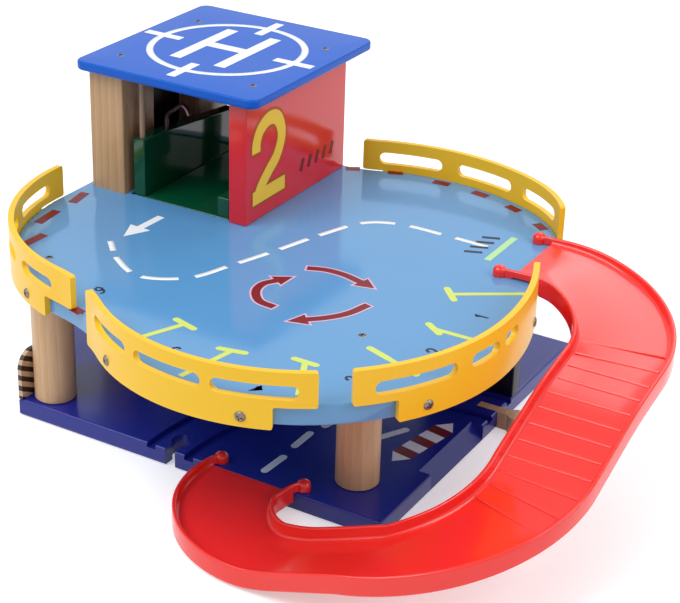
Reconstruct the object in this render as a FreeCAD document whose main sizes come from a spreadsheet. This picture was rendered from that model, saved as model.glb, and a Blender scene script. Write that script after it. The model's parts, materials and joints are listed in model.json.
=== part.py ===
import FreeCAD, Part
import math
import os

# Toy parking garage with a lift and a lift-off ramp, all in millimetres.
# Origin: centre of the main rectangle of the base board, on its underside, +Z up.
# +X runs along the front edge to the right and +Y to the back.
# Places are named from the front left corner of the base; at() moves them to the origin.

doc = FreeCAD.newDocument("ToyGarage")
V = FreeCAD.Vector
up = V(0, 0, 1)

driving = [
    ("baseWide", 248), ("baseDeep", 250), ("baseThick", 11),
    ("lobeOut", 33), ("lobeFront", 60), ("lobeRound", 12),
    ("deckUnder", 90), ("deckThick", 12), ("deckLeft", -34.5), ("deckBackCorner", 20),
    ("roofUnder", 180), ("roofThick", 6), ("roofLeft", -36), ("roofFront", 108),
    ("roofWide", 132), ("roofDeep", 142), ("roofRound", 7),
    ("trackGauge", 26), ("grooveWide", 6), ("grooveDeep", 3), ("trackLead", 8), ("trackRadius", 138.3),
    ("trackX", 109.7), ("socketRound", 13), ("socketNeck", 7), ("socketSet", 13),
    ("pegRound", 12), ("pegNeck", 6), ("pegSet", 11.5), ("pegStem", 14),
    ("slopeFront", 58), ("slopeBack", 124), ("slopeRun", 8), ("slopeFoot", 1),
    ("dowelWide", 25), ("leftPostX", 15.5), ("leftPostY", 15.5), ("rightPostX", 215.5), ("rightPostY", 30.7),
    ("postWide", 25), ("postDeep", 33), ("towerLeft", -29.3), ("towerRight", 86), ("towerFront", 115),
    ("towerBack", 232), ("backPostFront", 198), ("panelThick", 12.4), ("wallThick", 9), ("backGap", 29),
    ("barLeft", 25), ("barWide", 10),
    ("railThick", 3.5), ("railUp", 20), ("railDown", 13), ("slotUp", 8.5), ("slotTall", 8), ("railSoft", 1.5),
    ("screwWide", 3), ("screwHead", 6), ("screwDome", 1.4), ("screwHole", 3.2), ("screwPilot", 2.4),
    ("kerbThick", 2.8), ("kerbLong", 48), ("kerbTall", 30), ("kerbRound", 11),
    ("supportLeft", 188), ("supportFront", 163),
    ("rodWide", 3.6), ("rodRunning", 3.74), ("rodX", 3.5), ("rodY", 124.5), ("rodSeat", 6), ("rodSeatUp", 3),
    ("carWide", 71), ("carFront", 119), ("carBack", 222), ("carSide", 8.5), ("carFloor", 8), ("carTall", 37),
    ("carLip", 13), ("wellLeft", -2), ("wellRight", 72.6), ("wellFront", 118), ("wellBack", 226),
    ("carFall", 9), ("carLevel", 19),
    ("hookWide", 3), ("hookRadius", 6), ("hookX", 3.5), ("hookY", 150), ("hookSeat", 9), ("hookLean", 7),
    ("hookRise", 9), ("hookHole", 3.3),
    ("rampWide", 57), ("rampWall", 2.5), ("rampTall", 12.5), ("rampFloor", 2.5), ("rampLift", 0.2), ("rampLip", 9),
    ("rampPeg", 5), ("rampPegHole", 5.4), ("rampKnob", 8), ("rampKnobUp", 6), ("rampPegLong", 7), ("rampGap", 0.4),
]
sheet = doc.addObject("Spreadsheet::Sheet", "Sizes")
for row, (alias, value) in enumerate(driving, start=1):
    sheet.set("A%d" % row, alias)
    sheet.set("B%d" % row, str(value))
    sheet.setAlias("B%d" % row, alias)
doc.recompute()


def size(alias):
    return float(getattr(sheet, alias))


centreX = size("baseWide") / 2
centreY = size("baseDeep") / 2
baseTop = size("baseThick")
deckUnder = size("deckUnder")
deckTop = deckUnder + size("deckThick")
roofUnder = size("roofUnder")
roofTop = roofUnder + size("roofThick")
nodes = []


def at(x, y, z=0.0):
    return V(x - centreX, y - centreY, z)


def keep(obj, name):
    obj.Label = name
    nodes.append(obj)
    return obj


def feature(name, shape):
    obj = doc.addObject("Part::Feature", name)
    obj.Shape = shape
    return keep(obj, name)


# Where a straight run or an arc ends, and the heading there
def after(point, heading, run):
    angle = math.radians(heading)
    if run[0] == "line":
        return point + V(math.cos(angle), math.sin(angle), 0) * run[1], heading
    hub = point + V(-math.sin(angle), math.cos(angle), 0) * math.copysign(run[1], run[2])
    return hub + FreeCAD.Rotation(up, run[2]).multVec(point - hub), heading + run[2]


# Path of straight runs and arcs, as (edge, end) steps
def walk(start, heading, runs):
    point = V(start)
    steps = []
    for run in runs:
        end, turned = after(point, heading, run)
        if run[0] == "line":
            edge = Part.LineSegment(point, end)
        else:
            middle = after(point, heading, ("arc", run[1], run[2] / 2))[0]
            edge = Part.ArcOfCircle(point, middle, end)
        steps.append((edge, end))
        point, heading = end, turned
    return steps


def runLength(run):
    return run[1] if run[0] == "line" else run[1] * math.radians(abs(run[2]))


# Part of a path between two distances along it, as (start, heading, runs)
def clip(start, heading, runs, low, high):
    done = 0.0
    first = None
    kept = []
    for run in runs:
        long = runLength(run)
        a, b = max(low - done, 0), min(high - done, long)
        if b > a + 1e-6:
            first = first or after(start, heading, partOf(run, a))
            kept.append(partOf(run, b - a))
        start, heading = after(start, heading, run)
        done += long
    return first[0], first[1], kept


def partOf(run, length):
    if run[0] == "line":
        return ("line", length)
    return ("arc", run[1], math.copysign(math.degrees(length / run[1]), run[2]))


# The same path moved outwards, to the right of its heading
def moved(start, heading, runs, offset):
    angle = math.radians(heading)
    outward = V(math.sin(angle), -math.cos(angle), 0)
    shifted = []
    for run in runs:
        if run[0] == "arc":
            run = ("arc", run[1] + math.copysign(offset, run[2]), run[2])
        shifted.append(run)
    return start + outward * offset, heading, shifted


# Sketches and features
def newBody(name):
    return doc.addObject("PartDesign::Body", name)


def sketchOn(body, name, role, height=None):
    sketch = body.newObject("Sketcher::SketchObject", name)
    for plane in body.Origin.OriginFeatures:
        if plane.Role == role:
            sketch.AttachmentSupport = [(plane, "")]
    sketch.MapMode = "FlatFace"
    if height:
        sketch.setExpression("AttachmentOffset.Base.z", height)
    return sketch


def polygon(sketch, points):
    for a, b in zip(points, points[1:] + points[:1]):
        sketch.addGeometry(Part.LineSegment(V(a), V(b)), False)


def circles(sketch, places, radius):
    for x, y in places:
        sketch.addGeometry(Part.Circle(at(x, y), up, radius), False)


def path(sketch, steps):
    for edge, end in steps:
        sketch.addGeometry(edge, False)


def pad(body, sketch, length):
    made = body.newObject("PartDesign::Pad", sketch.Name + "Pad")
    made.Profile = sketch
    made.setExpression("Length", length)
    return made


def pocket(body, sketch, depth, upward=False):
    made = body.newObject("PartDesign::Pocket", sketch.Name + "Pocket")
    made.Profile = sketch
    made.setExpression("Length", depth)
    made.Reversed = upward
    doc.recompute()
    return made


def roundOver(body, made, radius, levels):
    doc.recompute()
    names = []
    for i, edge in enumerate(made.Shape.Edges, start=1):
        box = edge.BoundBox
        if any(abs(box.ZMin - level) < 0.01 and abs(box.ZMax - level) < 0.01 for level in levels):
            names.append("Edge%d" % i)
    rounded = body.newObject("PartDesign::Fillet", made.Name + "Rounded")
    rounded.Base = (made, names)
    rounded.Radius = radius
    doc.recompute()


# Keyhole outline: a round end on a straight neck
def keyhole(sketch, edgePoint, neckWay, setBack, radius, neckHalf, neckLong):
    side = V(-neckWay.y, neckWay.x, 0)
    hub = edgePoint - neckWay * setBack
    reach = math.sqrt(radius ** 2 - neckHalf ** 2)
    a = hub + neckWay * reach + side * neckHalf
    b = hub + neckWay * reach - side * neckHalf
    farA = edgePoint + neckWay * neckLong + side * neckHalf
    farB = edgePoint + neckWay * neckLong - side * neckHalf
    sketch.addGeometry(Part.ArcOfCircle(a, hub - neckWay * radius, b), False)
    for p, q in ((b, farB), (farB, farA), (farA, a)):
        sketch.addGeometry(Part.LineSegment(p, q), False)


def drill(name, place, way, wide, long):
    tool = doc.addObject("Part::Cylinder", name)
    tool.setExpression("Radius", "Sizes.%s / 2" % wide)
    tool.Height = long
    tool.Placement = FreeCAD.Placement(place, FreeCAD.Rotation(up, way))
    return tool


def drilled(name, base, tools):
    tool = tools[0]
    if len(tools) > 1:
        tool = doc.addObject("Part::MultiFuse", name + "Drills")
        tool.Shapes = tools
    cut = doc.addObject("Part::Cut", name + "Cut")
    cut.Base = base
    cut.Tool = tool
    doc.recompute()
    return cut


# Board: a block with softened edges; its sizes and place are sheet expressions
def board(name, x, y, z, wide, deep, tall, tools=()):
    block = doc.addObject("Part::Box", name + "Block")
    for key, text in (("Length", wide), ("Width", deep), ("Height", tall)):
        block.setExpression(key, text)
    block.setExpression("Placement.Base.x", "%s - Sizes.baseWide / 2" % x)
    block.setExpression("Placement.Base.y", "%s - Sizes.baseDeep / 2" % y)
    block.setExpression("Placement.Base.z", z)
    doc.recompute()
    soft = doc.addObject("Part::Fillet", name + "Soft")
    soft.Base = block
    soft.Edges = [(i + 1, edgeSoft, edgeSoft) for i in range(len(block.Shape.Edges))]
    doc.recompute()
    made = drilled(name, soft, list(tools)) if tools else soft
    return keep(made, name)


edgeSoft = 0.8
boardRound = 1.5
sinkDeep = 2.6
pilotDeep = 20

# Places that several pieces share
postCentre = size("towerLeft") + size("postWide") / 2
panelCentre = size("towerRight") - size("panelThick") / 2
frontPostY = size("towerFront") + size("postDeep") / 2
backPostY = size("towerBack") - size("postDeep") / 2
supportX = (size("supportLeft") + size("baseWide")) / 2
supportY = size("supportFront") + size("wallThick") / 2
dowels = [(size("leftPostX"), size("leftPostY")), (size("rightPostX"), size("rightPostY"))]
towerScrews = [(x, y) for x in (postCentre, panelCentre) for y in (frontPostY, backPostY)]
baseScrews = dowels + towerScrews + [(supportX, supportY)]
pegY = size("trackLead") + size("trackRadius")

# Ramp path: out of the deck, right turn, down the straight, and two right turns back to the front edge
rampStart = (244, 167)
rampRuns = [("line", 24), ("arc", 64, -90), ("line", 87), ("arc", 67, -90), ("line", 56.5), ("arc", 40, -90),
            ("line", 17)]
rampLong = sum(runLength(run) for run in rampRuns)
wallCentre = (size("rampWide") - size("rampWall")) / 2
rampEnd = walk(at(*rampStart), 0, rampRuns)[-1][1]
lowX, lowY = rampEnd.x + centreX, rampEnd.y + centreY
highPegs = [(rampStart[0], rampStart[1] - wallCentre), (rampStart[0], rampStart[1] + wallCentre)]
lowPegs = [(lowX - wallCentre, lowY), (lowX + wallCentre, lowY)]


# Base board with the track curve, its socket and peg slot, the car slope and the tower lobe
def baseBoard():
    body = newBody("BaseBody")
    wide, deep = size("baseWide"), size("baseDeep")
    out, front, r = size("lobeOut"), size("lobeFront"), size("lobeRound")
    outline = sketchOn(body, "BaseOutline", "XY_Plane")
    square = [at(0, 0), at(wide, 0), at(wide, deep), at(-out + r, deep)]
    for a, b in zip(square, square[1:]):
        outline.addGeometry(Part.LineSegment(a, b), False)
    path(outline, walk(square[-1], 180, [("arc", r, 90), ("line", deep - front - 2 * r), ("arc", r, 90),
                                         ("line", out - 2 * r), ("arc", r, -90), ("line", front - r)]))
    plate = pad(body, outline, "Sizes.baseThick")
    roundOver(body, plate, boardRound, (0, baseTop))
    grooves = sketchOn(body, "TrackGrooves", "XY_Plane", "Sizes.baseThick")
    half = size("grooveWide") / 2
    for offset in (-size("trackGauge") / 2, size("trackGauge") / 2):
        x = size("trackX") + offset
        radius = size("trackRadius") - offset
        past = wide - x - radius + 2
        sides = [walk(at(x + e, -2), 90, [("line", size("trackLead") + 2), ("arc", radius - e, -90), ("line", past)])
                 for e in (-half, half)]
        for steps in sides:
            path(grooves, steps)
        grooves.addGeometry(Part.LineSegment(at(x - half, -2), at(x + half, -2)), False)
        grooves.addGeometry(Part.LineSegment(sides[0][-1][1], sides[1][-1][1]), False)
    pocket(body, grooves, "Sizes.grooveDeep")
    socket = sketchOn(body, "TrackSocket", "XY_Plane", "Sizes.baseThick")
    keyhole(socket, at(size("trackX"), 0), V(0, -1, 0), size("socketSet"), size("socketRound") / 2,
            size("socketNeck") / 2, 2)
    pocket(body, socket, "Sizes.baseThick")
    slot = sketchOn(body, "PegSlot", "XY_Plane", "Sizes.baseThick")
    neck = size("pegNeck") / 2
    polygon(slot, [at(wide - size("pegStem"), pegY - neck), at(wide + 2, pegY - neck), at(wide + 2, pegY + neck),
                   at(wide - size("pegStem"), pegY + neck)])
    pocket(body, slot, "Sizes.baseThick")
    slope = sketchOn(body, "CarSlope", "XZ_Plane", "Sizes.baseDeep / 2 - Sizes.slopeFront")
    inner, outer, foot = wide - size("slopeRun") - centreX, wide - centreX, size("slopeFoot")
    polygon(slope, [V(inner, baseTop, 0), V(outer, foot, 0), V(outer + 3, foot, 0), V(outer + 3, baseTop + 2, 0),
                    V(inner, baseTop + 2, 0)])
    before = body.Shape.Volume
    pocket(body, slope, "Sizes.slopeBack - Sizes.slopeFront")
    print("car slope cut", round(before - body.Shape.Volume))
    through = sketchOn(body, "BaseHoles", "XY_Plane", "Sizes.baseThick")
    circles(through, baseScrews, size("screwHole") / 2)
    pocket(body, through, "Sizes.baseThick")
    sinks = sketchOn(body, "BaseSinks", "XY_Plane")
    circles(sinks, baseScrews, size("screwHead") / 2 + 0.4)
    pocket(body, sinks, "%g" % sinkDeep, upward=True)
    seats = sketchOn(body, "RampPegHoles", "XY_Plane", "Sizes.baseThick")
    circles(seats, lowPegs, size("rampPegHole") / 2)
    pocket(body, seats, "Sizes.rampPegLong + 0.5")
    rodSeat = sketchOn(body, "RodSeat", "XY_Plane", "Sizes.baseThick")
    circles(rodSeat, [(size("rodX"), size("rodY"))], size("rodWide") / 2)
    pocket(body, rodSeat, "Sizes.rodSeat")
    keep(body, "base_board")


def trackPeg():
    body = newBody("PegBody")
    sketch = sketchOn(body, "PegOutline", "XY_Plane")
    keyhole(sketch, at(size("baseWide"), pegY), V(-1, 0, 0), size("pegSet"), size("pegRound") / 2, size("pegNeck") / 2,
            size("pegStem"))
    pad(body, sketch, "Sizes.baseThick")
    doc.recompute()
    keep(body, "track_peg")


# Low striped board on the left edge of the base, its top corners rounded
def sideBoard():
    body = newBody("SideBoardBody")
    sketch = sketchOn(body, "SideBoardOutline", "YZ_Plane", "-Sizes.baseWide / 2")
    r, long, tall = size("kerbRound"), size("kerbLong"), size("kerbTall")
    start = V(-centreY, baseTop, 0)
    path(sketch, walk(start, 0, [("line", long)]))
    over = [("line", tall - r), ("arc", r, 90), ("line", long - 2 * r), ("arc", r, 90), ("line", tall - r)]
    path(sketch, walk(start + V(long, 0, 0), 90, over))
    pad(body, sketch, "Sizes.kerbThick")
    doc.recompute()
    keep(body, "striped_side_board")


# Round wooden posts, drilled at both ends for their screws
def dowelPost(name, x, y):
    rod = doc.addObject("Part::Cylinder", name + "Rod")
    rod.setExpression("Radius", "Sizes.dowelWide / 2")
    rod.setExpression("Height", "Sizes.deckUnder - Sizes.baseThick")
    rod.Placement.Base = at(x, y, baseTop)
    doc.recompute()
    soft = doc.addObject("Part::Chamfer", name + "Soft")
    soft.Base = rod
    soft.Edges = [(i, edgeSoft, edgeSoft) for i, edge in enumerate(rod.Shape.Edges, start=1) if edge.Closed]
    doc.recompute()
    tools = [drill(name + "Low", at(x, y, baseTop), up, "screwPilot", pilotDeep),
             drill(name + "High", at(x, y, deckUnder), -up, "screwPilot", pilotDeep)]
    keep(drilled(name, soft, tools), name)


# Screw: a round head on a pointed shank; the head's flat side is at the given place
def screw(name, place, way, long):
    body = newBody(name + "Body")
    sketch = sketchOn(body, name + "Profile", "XZ_Plane")
    head, shank, dome = size("screwHead") / 2, size("screwWide") / 2, size("screwDome")
    corners = [V(0, dome, 0), V(head * 0.55, dome * 0.85, 0), V(head, dome * 0.3, 0), V(head, 0, 0), V(shank, 0, 0),
               V(shank, 3 - long, 0), V(0, -long, 0)]
    polygon(sketch, corners)
    turned = body.newObject("PartDesign::Revolution", name + "Turned")
    turned.Profile = sketch
    turned.ReferenceAxis = (sketch, ["V_Axis"])
    turned.Angle = 360
    body.Placement = FreeCAD.Placement(place, FreeCAD.Rotation(up, way))
    doc.recompute()
    keep(body, name)


# Deck outline, counter-clockwise from the top of its straight left edge
deckRuns = [("arc", 113.3, 78), ("arc", 107.6, -26), ("arc", 112.7, 79.6), ("arc", 127, 48.4), ("arc", 170, 22),
            ("line", 12), ("arc", 90, -20), ("line", 7.3), ("arc", 80, 60), ("arc", 130, 51), ("arc", 60, -23)]
leftEnd = 86.5


def deckPath():
    corner = size("deckBackCorner")
    start = at(size("deckLeft"), leftEnd)
    last = walk(start, -90, deckRuns)[-1][1]
    left = last.y + centreY - corner - leftEnd
    back = last.x + centreX - corner - size("deckLeft")
    begin = at(size("deckLeft"), leftEnd + left)
    return begin, -90, [("line", left)] + deckRuns + [("line", back), ("arc", corner, 90)]


def deckBoard():
    body = newBody("DeckBody")
    outline = sketchOn(body, "DeckOutline", "XY_Plane", "Sizes.deckUnder")
    path(outline, walk(*deckPath()))
    plate = pad(body, outline, "Sizes.deckThick")
    roundOver(body, plate, boardRound, (deckUnder, deckTop))
    well = sketchOn(body, "LiftWell", "XY_Plane", "Sizes.deckUnder + Sizes.deckThick")
    left, right, front, back = size("wellLeft"), size("wellRight"), size("wellFront"), size("wellBack")
    polygon(well, [at(left, front), at(right, front), at(right, back), at(left, back)])
    for y in (size("towerFront"), size("backPostFront")):
        x0, x1, y1 = size("towerLeft"), size("towerLeft") + size("postWide"), y + size("postDeep")
        polygon(well, [at(x0, y), at(x1, y), at(x1, y1), at(x0, y1)])
    circles(well, dowels, size("screwHole") / 2)
    pocket(body, well, "Sizes.deckThick")
    seats = sketchOn(body, "DeckPegHoles", "XY_Plane", "Sizes.deckUnder + Sizes.deckThick")
    circles(seats, highPegs, size("rampPegHole") / 2)
    pocket(body, seats, "Sizes.rampPegLong + 0.5")
    tools = []
    for i, (place, outward) in enumerate(railScrewPlaces(0)):
        tools.append(drill("DeckEdgeDrill%d" % (i + 1), place, -outward, "screwPilot", 14))
    keep(drilled("DeckEdge", body, tools), "deck_board")


# Guard rails: distances along the deck edge of both ends, of the lower tab, of the slots and of the screws
rails = [
    ("left_rail", 123, 298, 147, 273, [(136, 175), (185, 237), (248, 280)], [158, 253]),
    ("front_left_rail", 316, 477, 316, 455, [(330, 368), (375, 418), (423, 468)], [348, 439]),
    ("front_right_rail", 494, 672, 518, 672, [(505, 553), (563, 587), (593, 609)], [535, 650]),
    ("back_rail", 754, 922, 754, 908, [(766, 806), (816, 858), (869, 911)], [773, 895]),
]
screwDrop = 7


def edgePoint(distance, offset, z):
    start, heading, runs = clip(*deckPath(), distance, distance + 0.01)
    angle = math.radians(heading)
    outward = V(math.sin(angle), -math.cos(angle), 0)
    return V(start.x, start.y, z) + outward * offset, outward


def railScrewPlaces(offset):
    return [edgePoint(s, offset, deckTop - screwDrop) for rail in rails for s in rail[6]]


# A strip that follows the deck edge between two distances
def strip(low, high, inner, outer, bottom, top):
    piece = clip(*deckPath(), low, high)
    near = walk(*moved(*piece, inner))
    far = walk(*moved(*piece, outer))
    nearStart = moved(*piece, inner)[0]
    farStart = moved(*piece, outer)[0]
    edges = [step[0].toShape() for step in near + far]
    edges += [Part.makeLine(nearStart, farStart), Part.makeLine(near[-1][1], far[-1][1])]
    face = Part.Face(Part.Wire(Part.__sortEdges__(edges)))
    face.translate(V(0, 0, bottom))
    return face.extrude(V(0, 0, top - bottom))


def guardRail(name, low, high, tabLow, tabHigh, slots, screws):
    thick, r = size("railThick"), size("slotTall") / 2
    rail = strip(low, high, 0, thick, deckTop, deckTop + size("railUp"))
    rail = rail.fuse(strip(tabLow, tabHigh, 0, thick, deckTop - size("railDown"), deckTop + 1)).removeSplitter()
    corners = [edge for edge in rail.Edges if abs(edge.Length - thick) < 0.01 and edge.BoundBox.ZLength < 0.01]
    rail = rail.makeFillet(size("railSoft"), corners)
    z = deckTop + size("slotUp")
    for a, b in slots:
        opening = strip(a + r, b - r, -1, thick + 1, z - r, z + r)
        for s in (a + r, b - r):
            place, outward = edgePoint(s, -1, z)
            opening = opening.fuse(Part.makeCylinder(r, thick + 2, place, outward))
        rail = rail.cut(opening)
    for s in screws:
        place, outward = edgePoint(s, -1, deckTop - screwDrop)
        rail = rail.cut(Part.makeCylinder(size("screwHole") / 2, thick + 2, place, outward))
    feature(name, rail)


# Tower: two square posts from base to roof, a red side panel, dark walls, a gap behind the lift and the roof
def tower():
    tall = "Sizes.roofUnder - Sizes.baseThick"
    upper = "Sizes.roofUnder - Sizes.deckUnder - Sizes.deckThick"
    lower = "Sizes.deckUnder - Sizes.baseThick"
    onDeck = "Sizes.deckUnder + Sizes.deckThick"
    spots = (("tower_front_post", "Sizes.towerFront", frontPostY),
             ("tower_back_post", "Sizes.backPostFront", backPostY))
    for name, y, middle in spots:
        tools = [drill(name + "Low", at(postCentre, middle, baseTop), up, "screwPilot", pilotDeep),
                 drill(name + "High", at(postCentre, middle, roofUnder), -up, "screwPilot", pilotDeep)]
        board(name, "Sizes.towerLeft", y, "Sizes.baseThick", "Sizes.postWide", "Sizes.postDeep", tall, tools)
    tools = [drill("PanelHigh%d" % i, at(panelCentre, y, roofUnder), -up, "screwPilot", pilotDeep)
             for i, y in enumerate((frontPostY, backPostY))]
    board("tower_side_panel", "Sizes.towerRight - Sizes.panelThick", "Sizes.towerFront", onDeck, "Sizes.panelThick",
          "Sizes.towerBack - Sizes.towerFront", upper, tools)
    tools = [drill("LowerHigh%d" % i, at(panelCentre, y, baseTop), up, "screwPilot", pilotDeep)
             for i, y in enumerate((frontPostY, backPostY))]
    board("lower_side_wall", "Sizes.towerRight - Sizes.panelThick", "Sizes.towerFront", "Sizes.baseThick",
          "Sizes.panelThick", "Sizes.towerBack - Sizes.towerFront", lower, tools)
    inside = "Sizes.towerLeft + Sizes.postWide"
    between = "Sizes.towerRight - Sizes.panelThick - Sizes.towerLeft - Sizes.postWide"
    back = "Sizes.towerBack - Sizes.wallThick"
    board("tower_back_wall", inside, back, onDeck + " + Sizes.backGap", between, "Sizes.wallThick",
          upper + " - Sizes.backGap")
    board("tower_back_bar", "Sizes.barLeft", back, onDeck, "Sizes.barWide", "Sizes.wallThick", "Sizes.backGap")
    board("lower_back_wall", inside, back, "Sizes.baseThick", between, "Sizes.wallThick", lower)
    board("tower_left_wall", "Sizes.towerLeft", "Sizes.towerFront + Sizes.postDeep", onDeck, "Sizes.wallThick",
          "Sizes.backPostFront - Sizes.towerFront - Sizes.postDeep", upper)
    rear = [drill("SupportLow", at(supportX, supportY, baseTop), up, "screwPilot", pilotDeep)]
    board("rear_support", "Sizes.supportLeft", "Sizes.supportFront", "Sizes.baseThick",
          "Sizes.baseWide - Sizes.supportLeft", "Sizes.wallThick", lower, rear)


def towerRoof():
    body = newBody("RoofBody")
    outline = sketchOn(body, "RoofOutline", "XY_Plane", "Sizes.roofUnder")
    r, wide, deep = size("roofRound"), size("roofWide"), size("roofDeep")
    start = at(size("roofLeft") + r, size("roofFront"))
    side = [("line", wide - 2 * r), ("arc", r, 90), ("line", deep - 2 * r), ("arc", r, 90)]
    path(outline, walk(start, 0, side + side))
    plate = pad(body, outline, "Sizes.roofThick")
    roundOver(body, plate, boardRound, (roofUnder, roofTop))
    holes = sketchOn(body, "RoofHoles", "XY_Plane", "Sizes.roofUnder + Sizes.roofThick")
    circles(holes, towerScrews, size("screwHole") / 2)
    pocket(body, holes, "Sizes.roofThick")
    seat = sketchOn(body, "RoofRodSeat", "XY_Plane", "Sizes.roofUnder")
    circles(seat, [(size("rodX"), size("rodY"))], size("rodWide") / 2)
    pocket(body, seat, "Sizes.rodSeatUp", upward=True)
    keep(body, "tower_roof")


def guideRod():
    rod = doc.addObject("Part::Cylinder", "GuideRod")
    rod.setExpression("Radius", "Sizes.rodWide / 2")
    rod.setExpression("Height", "Sizes.roofUnder + Sizes.rodSeatUp - Sizes.baseThick + Sizes.rodSeat")
    rod.Placement.Base = at(size("rodX"), size("rodY"), baseTop - size("rodSeat"))
    doc.recompute()
    keep(rod, "lift_guide_rod")


# Lift car: floor, a high left side with a top that falls to the back, a low right side and a bent wire hook
def liftSide():
    body = newBody("LiftSideBody")
    sketch = sketchOn(body, "LiftSideOutline", "YZ_Plane", "-Sizes.baseWide / 2")
    front, back = size("carFront") - centreY, size("carBack") - centreY
    top = deckTop + size("carTall")
    polygon(sketch, [V(front, deckTop, 0), V(back, deckTop, 0), V(back, top - size("carFall"), 0),
                     V(front + size("carLevel"), top, 0), V(front, top, 0)])
    plate = pad(body, sketch, "Sizes.carSide")
    doc.recompute()
    rims = [i for i, edge in enumerate(plate.Shape.Edges, start=1) if edge.BoundBox.XLength < 0.01]
    rounded = body.newObject("PartDesign::Fillet", "LiftSideRounded")
    rounded.Base = (plate, ["Edge%d" % i for i in rims])
    rounded.Radius = edgeSoft
    doc.recompute()
    return body


def liftCar():
    side = "Sizes.carSide"
    floorTop = "Sizes.deckUnder + Sizes.deckThick"
    deep = "Sizes.carBack - Sizes.carFront"
    rod = at(size("rodX"), size("rodY"), deckTop - size("carFloor") - 1)
    foot = at(size("hookX"), size("hookY"), deckTop + size("carTall") - size("hookSeat"))
    bore = size("carTall") + size("carFloor") + 2
    board("lift_floor", "0", "Sizes.carFront", floorTop + " - Sizes.carFloor", "Sizes.carWide", deep, "Sizes.carFloor",
          [drill("FloorBore", rod, up, "rodRunning", bore)])
    keep(drilled("LiftSide", liftSide(), [drill("SideBore", rod, up, "rodRunning", bore),
                                          drill("HookBore", foot, up, "hookHole", 20)]), "lift_left_side")
    board("lift_right_side", "Sizes.carWide - Sizes.carSide", "Sizes.carFront", floorTop, side, deep, "Sizes.carLip")
    r = size("hookRadius")
    knee = foot + up * (size("hookSeat") + 3)
    shoulder = knee + V(size("hookLean"), 0, size("hookRise"))
    crown = shoulder + V(r * 0.9, 0, r * 0.55)
    tip = crown + V(r * 0.75, 0, -r * 0.9)
    curve = Part.BSplineCurve()
    curve.interpolate(Points=[knee, shoulder, crown, tip], InitialTangent=up, FinalTangent=V(0.25, 0, -1))
    ring = Part.Wire([Part.makeCircle(size("hookWide") / 2, foot, up)])
    bar = Part.Wire([Part.makeLine(foot, knee), curve.toShape()]).makePipeShell([ring], True, False)
    feature("lift_hook", bar)


# Ramp: a channel with a skirt, lofted through upright sections along its path.
# The knots give the height of the walls' rims and of the floor at distances along the path.
rimLow = size("rampTall") + size("rampLift")
rimKnots = [(0, deckTop + 5), (30, deckTop + 6), (159, 84), (370, rimLow), (rampLong - 50, rimLow),
            (rampLong - 8, baseTop + 5.5), (rampLong, baseTop + 5.5)]
floorKnots = [(0, deckTop + 2), (30, deckTop + 2), (60, 97.5), (159, 77.5), (370, 4.6), (rampLong - 50, 4.6),
              (rampLong - 8, baseTop + 0.2), (rampLong, baseTop + 0.2)]

# Distance of the two walls' outer faces from the path: even, but for the bulge of the low bend
halfWide = size("rampWide") / 2
nearKnots = [(0, halfWide), (rampLong - 150, halfWide), (rampLong - 112, 23), (rampLong - 92, 21),
             (rampLong - 60, 22.5), (rampLong - 15, 21), (rampLong - 6, 24), (rampLong, halfWide)]
farKnots = [(0, halfWide), (rampLong - 66, halfWide), (rampLong - 45, 33), (rampLong - 20, 35.5),
            (rampLong - 8, 32.5), (rampLong, halfWide)]


def level(knots, s):
    def linear(d):
        for (a, za), (b, zb) in zip(knots, knots[1:]):
            if d <= b:
                return za + (zb - za) * (d - a) / (b - a)

    reach = min(14, s, rampLong - s)
    return sum(linear(s + reach * k / 6) for k in range(-6, 7)) / 13


def rampSection(s):
    start, heading, runs = clip(at(*rampStart), 0, rampRuns, min(s, rampLong - 0.01), rampLong)
    angle = math.radians(heading)
    right = V(math.sin(angle), -math.cos(angle), 0)
    rim, floor, ease = level(rimKnots, s), level(floorKnots, s), 1.5
    foot, under = rim - size("rampTall"), floor - size("rampFloor")
    sides = []
    for half in (level(nearKnots, s), level(farKnots, s)):
        inner = half - size("rampWall")
        sides.append([(inner, under), (inner, foot), (half - ease, foot), (half, foot + ease), (half, rim),
                      (inner, rim), (inner, floor)])
    corners = sides[0] + [(-a, z) for a, z in reversed(sides[1])]
    return Part.makePolygon([start + right * a + up * z for a, z in corners + corners[:1]])


def ramp():
    count = 84
    sections = [rampSection(rampLong * i / count) for i in range(count + 1)]
    channel = Part.makeLoft(sections, True, True)
    gap, inner = size("rampGap"), halfWide - size("rampWall")
    deck = Part.Face(Part.Wire([step[0].toShape() for step in walk(*moved(*deckPath(), gap))]))
    deck.translate(V(0, 0, deckUnder - 5))
    beforeLip = Part.makeBox(size("rampLip") + 1, 2 * inner, 5, at(rampStart[0] - 1, rampStart[1] - inner, deckTop))
    overBase = Part.makeBox(120, 40, 30, at(110, -gap, baseTop + 0.3 - 30))
    channel = channel.cut(deck.extrude(V(0, 0, deckTop - deckUnder + 5 + 0.3))).cut(beforeLip).cut(overBase)
    knobUp = size("rampKnobUp")
    for places, top in ((highPegs, deckTop + 0.3), (lowPegs, baseTop + 0.3)):
        for x, y in places:
            knob = Part.makeCylinder(size("rampKnob") / 2, knobUp, at(x, y, top))
            crown = [edge for edge in knob.Edges if edge.Closed and edge.BoundBox.ZMin > top + knobUp - 0.1]
            knob = knob.makeFillet(size("rampKnob") / 4, crown)
            peg = Part.makeCylinder(size("rampPeg") / 2, size("rampPegLong") + 1, at(x, y, top - size("rampPegLong")))
            channel = channel.fuse(knob).fuse(peg)
    feature("ramp", channel)


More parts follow.
